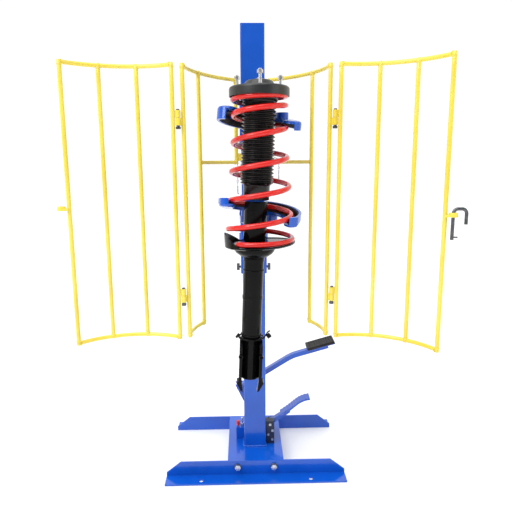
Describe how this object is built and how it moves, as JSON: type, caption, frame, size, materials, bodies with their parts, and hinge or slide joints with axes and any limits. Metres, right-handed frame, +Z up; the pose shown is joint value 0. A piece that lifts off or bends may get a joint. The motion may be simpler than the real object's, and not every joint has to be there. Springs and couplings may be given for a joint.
{
  "type": "coil spring compressor",
  "caption": "Floor-standing strut coil spring compressor: blue column stand with a foot-pumped lifting carriage, crescent jaws, yellow hinged safety cage and a strut clamped in place.",
  "frame": {"origin": "on the floor at the centre of the four floor-bolt holes in the feet", "axes": "+Z up along the column, +X to the operator's right, +Y to the back; the jaws and cage face -Y"},
  "size_m": [0.9731, 0.6432, 1.36],
  "materials": {
    "blue_paint": "gloss",
    "yellow_paint": "gloss",
    "zinc_steel": "satin",
    "ground_chrome": "polished",
    "black_casting": "satin",
    "black_rubber": "matte",
    "black_paint": "gloss",
    "red_coating": "gloss",
    "red_plastic": "gloss"
  },
  "bodies": {
    "stand": {"front_foot": "blue_paint", "rear_foot": "blue_paint", "foot_bolts": "zinc_steel", "base_frame": "blue_paint", "column": "blue_paint", "mast": "blue_paint", "mast_bolts": "zinc_steel", "ram_cylinder": "black_casting", "pump_block": "black_casting", "pump_bolts": "zinc_steel", "valve_block": "blue_paint", "valve_fitting": "zinc_steel", "lever_bracket": "blue_paint", "pedal_pins": "blue_paint", "upper_bracket": "blue_paint", "upper_pivot_pins": "zinc_steel", "cage_straps": "yellow_paint", "left_panel_bars": "yellow_paint", "left_panel_rails": "yellow_paint", "right_panel_bars": "yellow_paint", "right_panel_rails": "yellow_paint", "panel_hinges": "yellow_paint", "cage_hinge_pins": "zinc_steel", "safety_chains": "zinc_steel", "strut_spring": "red_coating", "strut_top_mount": "black_paint", "strut_mount_studs": "zinc_steel", "strut_dust_boot": "black_rubber", "strut_piston_rod": "ground_chrome", "strut_damper_tube": "black_paint", "strut_spring_seat": "black_paint", "strut_lower_bracket": "black_paint"},
    "lower_carriage": {"carriage_sleeve": "blue_paint", "lift_pin": "blue_paint", "guide_screws": "zinc_steel", "ram_rod": "ground_chrome", "lower_pivot_pins": "zinc_steel"},
    "lower_left_jaw_arm": {"lower_left_jaw": "blue_paint", "lower_left_jaw_pad": "black_rubber"},
    "lower_right_jaw_arm": {"lower_right_jaw": "blue_paint", "lower_right_jaw_pad": "black_rubber"},
    "upper_left_jaw_arm": {"upper_left_jaw": "blue_paint", "upper_left_jaw_pad": "black_rubber"},
    "upper_right_jaw_arm": {"upper_right_jaw": "blue_paint", "upper_right_jaw_pad": "black_rubber"},
    "left_door": {"left_door_bars": "yellow_paint", "left_door_rails": "yellow_paint", "left_door_hinges": "yellow_paint", "left_latch_eye": "yellow_paint"},
    "right_door": {"right_door_bars": "yellow_paint", "right_door_rails": "yellow_paint", "right_door_hinges": "yellow_paint", "right_latch_eye": "yellow_paint"},
    "latch": {"latch_pin": "zinc_steel"},
    "foot_lever": {"pump_lever": "blue_paint", "lever_pad": "black_rubber"},
    "plunger": {"pump_plunger": "ground_chrome"},
    "release": {"release_pedal": "blue_paint"},
    "knob": {"valve_knob": "red_plastic"}
  },
  "joints": [
    {"name": "carriage_lift", "type": "slide", "parent": "stand", "child": "lower_carriage", "axis": [0, 0, 1], "range_m": [0, 0.1], "deforming": ["strut_spring"]},
    {"name": "lower_left_jaw_swing", "type": "hinge", "parent": "lower_carriage", "child": "lower_left_jaw_arm", "pos_m": [-0.027, -0.0925, 0.808], "axis": [0, 0, -1], "range_deg": [0, 12]},
    {"name": "lower_right_jaw_swing", "type": "hinge", "parent": "lower_carriage", "child": "lower_right_jaw_arm", "pos_m": [0.027, -0.0925, 0.808], "axis": [0, 0, 1], "range_deg": [0, 12]},
    {"name": "upper_left_jaw_swing", "type": "hinge", "parent": "stand", "child": "upper_left_jaw_arm", "pos_m": [-0.027, -0.0915, 1.084], "axis": [0, 0, -1], "range_deg": [0, 12]},
    {"name": "upper_right_jaw_swing", "type": "hinge", "parent": "stand", "child": "upper_right_jaw_arm", "pos_m": [0.027, -0.0915, 1.084], "axis": [0, 0, 1], "range_deg": [0, 12]},
    {"name": "left_door_hinge", "type": "hinge", "parent": "stand", "child": "left_door", "pos_m": [-0.189, -0.305, 0.63], "axis": [0, 0, 1], "range_deg": [-10, 123.8]},
    {"name": "right_door_hinge", "type": "hinge", "parent": "stand", "child": "right_door", "pos_m": [0.199, -0.305, 0.63], "axis": [0, 0, -1], "range_deg": [-29.5, 104.3]},
    {"name": "latch_pin_lift", "type": "slide", "parent": "right_door", "child": "latch", "axis": [0, 0, 1], "range_m": [0, 0.045]},
    {"name": "pump_pedal", "type": "hinge", "parent": "stand", "child": "foot_lever", "pos_m": [-0.048, 0.036, 0.216], "axis": [0, 1, 0], "range_deg": [0, 15], "stiffness_Nm_per_rad": 20, "springref_deg": -34.38},
    {"name": "plunger_stroke", "type": "slide", "parent": "stand", "child": "plunger", "axis": [0, 0, -1], "range_m": [0, 0.0158]},
    {"name": "release_pedal_press", "type": "hinge", "parent": "stand", "child": "release", "pos_m": [0.054, -0.012, 0.112], "axis": [0, 1, 0], "range_deg": [0, 10], "stiffness_Nm_per_rad": 3, "springref_deg": -28.65},
    {"name": "valve_knob_turn", "type": "hinge", "parent": "stand", "child": "knob", "pos_m": [-0.056, 0, 0.1], "axis": [0, 0, 1], "range_deg": [0, 180]}
  ],
  "couplings": [
    {"joint": "plunger_stroke", "follows": "pump_pedal", "m_per_rad": 0.0603}
  ]
}
